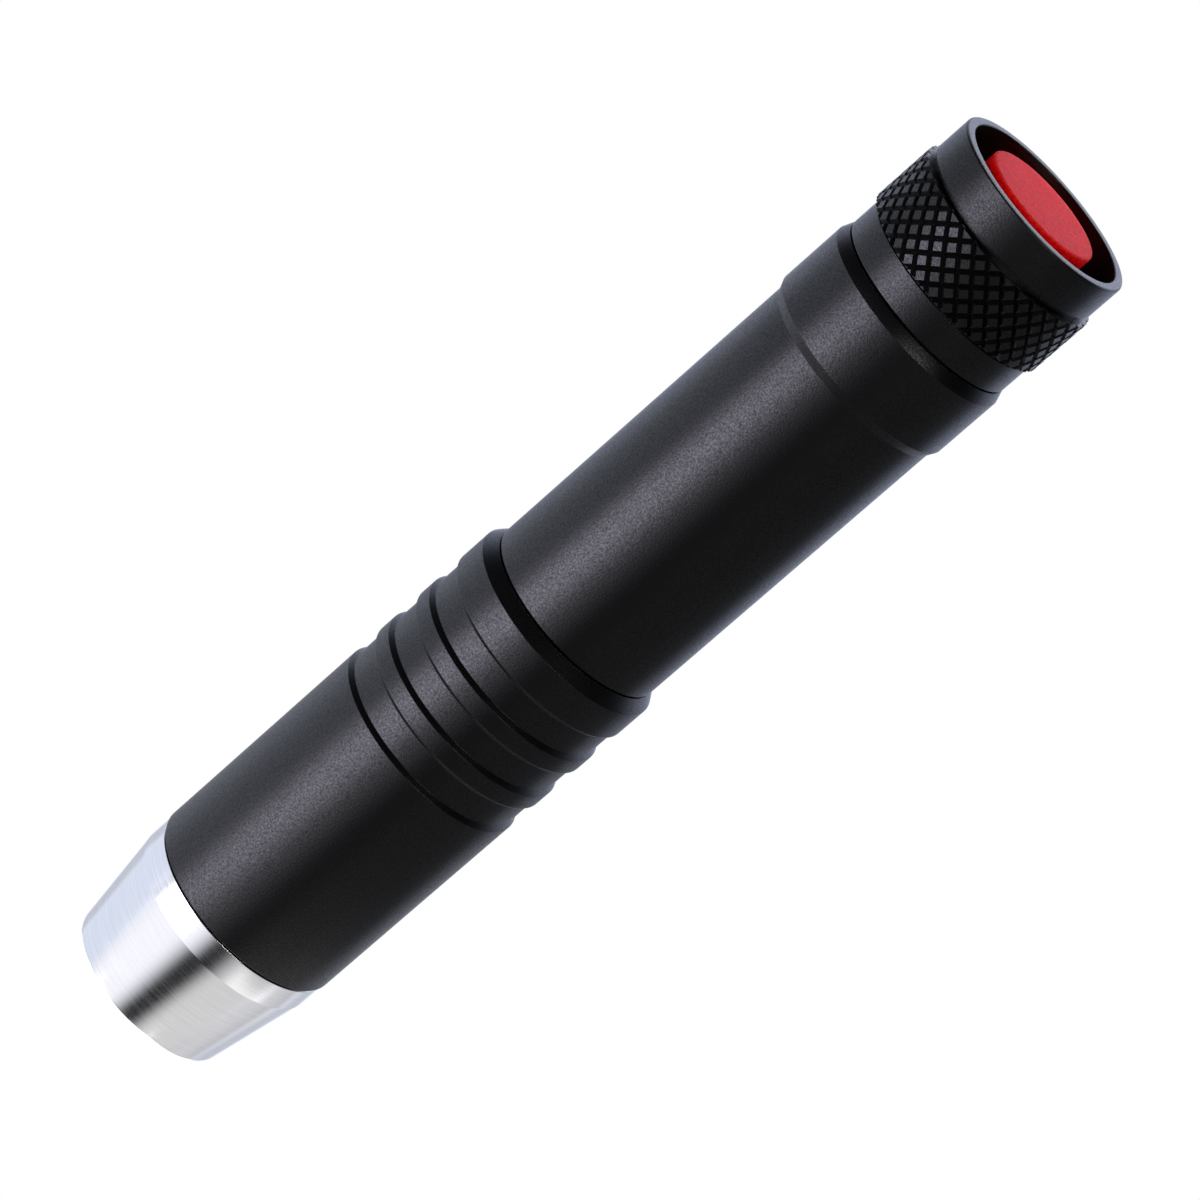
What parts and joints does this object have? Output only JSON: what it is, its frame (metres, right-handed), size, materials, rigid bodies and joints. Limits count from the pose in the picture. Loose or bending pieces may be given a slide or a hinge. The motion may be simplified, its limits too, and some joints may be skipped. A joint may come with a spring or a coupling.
{
  "type": "flashlight",
  "caption": "Tube flashlight with a bare metal cone nose, grooved black head, plain grip and a knurled screw-on tail cap whose soft button is pressed to switch it.",
  "frame": {"origin": "centre of the flat front face of the nose, on which the flashlight stands", "axes": "+Z along the barrel from the nose to the tail, +X and +Y square to it"},
  "size_m": [0.024, 0.024, 0.129],
  "materials": {
    "bare_aluminium": "bare, finely turned",
    "black_anodised": "fine bead-blasted, black anodised",
    "red_silicone": "matte moulded silicone",
    "black_rubber": "moulded sealing ring",
    "clear_glass": "polished",
    "clear_silicone": "clear cast silicone",
    "mirror_coat": "vacuum-metallised, lightly orange-peeled",
    "brass": "turned",
    "nickel_steel": "nickel-plated",
    "white_board": "white solder mask",
    "green_board": "green solder mask",
    "white_plastic": "moulded",
    "black_plastic": "moulded",
    "led_phosphor": "yellow phosphor on a white package",
    "cell_sleeve": "shrink sleeve over a steel can",
    "red_sleeve": "wire insulation"
  },
  "bodies": {
    "nose": {"nose_cone": "bare_aluminium", "nose_oring": "black_rubber", "lens_seal": "black_rubber", "front_lens": "clear_glass"},
    "reflector": {"reflector": "mirror_coat"},
    "head": {"head_shell": "black_anodised", "led_centring_ring": "white_plastic", "led_dome": "clear_silicone", "led_emitter": "led_phosphor", "led_board": "white_board", "pill": "brass", "lead_positive": "red_sleeve", "lead_negative": "black_plastic", "driver_board": "green_board", "driver_chip": "black_plastic", "driver_inductor": "black_plastic", "driver_retaining_ring": "brass", "driver_spring": "nickel_steel"},
    "battery": {"battery_can": "cell_sleeve", "battery_washer": "white_plastic", "battery_positive_cap": "nickel_steel"},
    "barrel": {"battery_tube": "black_anodised", "head_oring": "black_rubber"},
    "tail_spring": {"tail_spring": "nickel_steel"},
    "tail_cap": {"tail_cap": "black_anodised", "tail_oring": "black_rubber", "switch_retaining_ring": "bare_aluminium", "switch_board": "green_board", "switch_spacer": "white_plastic", "switch_body": "black_plastic", "boot_washer": "white_plastic", "boot_flange": "red_silicone"},
    "button": {"tail_button": "red_silicone", "switch_plunger": "white_plastic"}
  },
  "joints": [
    {"name": "nose_thread_travel", "type": "slide", "parent": "nose", "child": "reflector", "axis": [0, 0, 1], "range_m": [0, 0.00375]},
    {"name": "nose_thread_turn", "type": "hinge", "parent": "reflector", "child": "head", "pos_m": [0, 0, 0.0194], "axis": [0, 0, 1], "range_deg": [0, 1080.5]},
    {"name": "head_thread_travel", "type": "slide", "parent": "head", "child": "battery", "axis": [0, 0, 1], "range_m": [0, 0.005]},
    {"name": "head_thread_turn", "type": "hinge", "parent": "battery", "child": "barrel", "pos_m": [0, 0, 0.06], "axis": [0, 0, 1], "range_deg": [0, 1440.5]},
    {"name": "tail_thread_travel", "type": "slide", "parent": "barrel", "child": "tail_spring", "axis": [0, 0, 1], "range_m": [0, 0.00375]},
    {"name": "tail_thread_turn", "type": "hinge", "parent": "tail_spring", "child": "tail_cap", "pos_m": [0, 0, 0.11], "axis": [0, 0, 1], "range_deg": [0, 1080.5]},
    {"name": "button_press", "type": "slide", "parent": "tail_cap", "child": "button", "axis": [0, 0, -1], "range_m": [0, 0.0018], "stiffness_N_per_m": 800, "springref_m": -0.004}
  ],
  "couplings": [
    {"joint": "nose_thread_turn", "follows": "nose_thread_travel", "rad_per_m": 5026.5},
    {"joint": "head_thread_turn", "follows": "head_thread_travel", "rad_per_m": 5026.5},
    {"joint": "tail_thread_turn", "follows": "tail_thread_travel", "rad_per_m": 5026.5}
  ]
}
